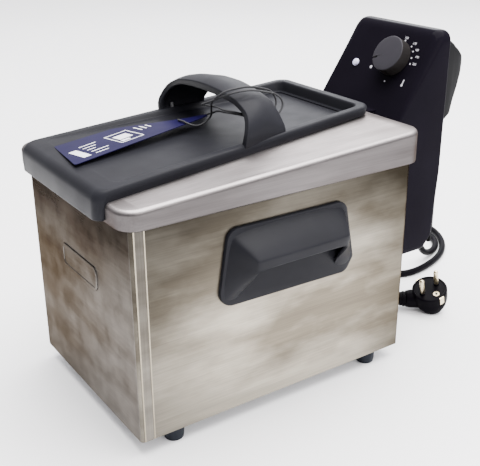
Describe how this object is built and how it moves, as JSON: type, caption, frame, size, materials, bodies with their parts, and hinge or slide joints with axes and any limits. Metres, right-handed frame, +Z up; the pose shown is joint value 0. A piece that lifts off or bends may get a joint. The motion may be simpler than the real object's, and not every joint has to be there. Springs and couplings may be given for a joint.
{
  "type": "deep fryer",
  "caption": "Electric deep fryer with a steel casing, a lift-off plastic lid with an arch handle, a basket and a black control unit at the back",
  "frame": {"origin": "on the surface the fryer stands on, under the middle of its box, cord and plug left out", "axes": "X across, Y from the front to the control unit at the back, Z up"},
  "size_m": [0.2974, 0.5345, 0.291],
  "materials": {
    "steel_casing": "brushed",
    "steel_polished": "satin",
    "steel_plain": "satin",
    "wire_chrome": "polished",
    "lid_plastic": "satin",
    "grip_plastic": "satin",
    "head_plastic": "gloss",
    "cover_plastic": "satin",
    "knob_plastic": "satin",
    "lens_plastic": "gloss",
    "inner_plastic": "matte",
    "foot_rubber": "matte",
    "cord_rubber": "satin",
    "brass": "satin",
    "card": "satin",
    "elastic": "matte"
  },
  "bodies": {
    "fryer": {"outer_casing": "steel_casing", "base_plate": "steel_plain", "tank_frame": "steel_plain", "top_rim": "steel_casing", "oil_tank": "steel_polished", "foot_front_left": "foot_rubber", "foot_front_right": "foot_rubber", "foot_rear_left": "foot_rubber", "foot_rear_right": "foot_rubber", "foot_screws": "steel_plain", "side_grip_left": "grip_plastic", "side_grip_right": "grip_plastic", "grip_backing_left": "cover_plastic", "grip_backing_right": "cover_plastic", "grip_screws": "steel_plain", "front_badge": "steel_polished", "head_rail": "steel_plain", "head_shell": "head_plastic", "head_rear_cover": "cover_plastic", "head_screws": "steel_plain", "head_arm": "head_plastic", "heating_element": "steel_polished", "element_clamp": "steel_plain", "sensor_bulb": "steel_polished", "sensor_capillary": "steel_plain", "thermostat_body": "inner_plastic", "indicator_lens": "lens_plastic", "indicator_lamp": "inner_plastic", "terminal_block": "inner_plastic", "safety_switch": "cover_plastic", "thermal_cutout": "inner_plastic", "cord_gland": "cord_rubber", "power_cord": "cord_rubber", "plug_body": "cord_rubber", "plug_pins": "brass", "plug_earth_clips": "brass"},
    "lid": {"lid_shell": "lid_plastic", "lid_handle": "lid_plastic", "lid_handle_screws": "steel_plain", "hang_tag": "card", "tag_loop": "elastic"},
    "basket": {"basket_shell": "wire_chrome", "basket_rim": "wire_chrome", "basket_handle_pivot": "wire_chrome"},
    "basket_handle_arm": {"basket_handle": "wire_chrome", "basket_grip": "grip_plastic"},
    "knob": {"control_knob": "knob_plastic", "thermostat_shaft": "steel_plain"},
    "button": {"reset_button": "cover_plastic"}
  },
  "joints": [
    {"name": "lid_lift", "type": "slide", "parent": "fryer", "child": "lid", "axis": [0, 0, 1], "range_m": [0, 0.28]},
    {"name": "basket_lift", "type": "slide", "parent": "fryer", "child": "basket", "axis": [0, 0, 1], "range_m": [0, 0.168]},
    {"name": "basket_handle_fold", "type": "hinge", "parent": "basket", "child": "basket_handle_arm", "pos_m": [0, -0.14575, 0.1916], "axis": [1, 0, 0], "range_deg": [0, 70]},
    {"name": "knob_turn", "type": "hinge", "parent": "fryer", "child": "knob", "pos_m": [0.0185, 0.13838, 0.26327], "axis": [0, 0.8554, -0.518], "range_deg": [0, 210]},
    {"name": "button_press", "type": "slide", "parent": "fryer", "child": "button", "axis": [0, -1, 0], "range_m": [0, 0.002], "stiffness_N_per_m": 400}
  ],
  "couplings": [
    {"joint": "basket_lift", "follows": "lid_lift", "ratio": 0.6},
    {"joint": "basket_handle_fold", "follows": "lid_lift", "rad_per_m": 4.3633}
  ]
}
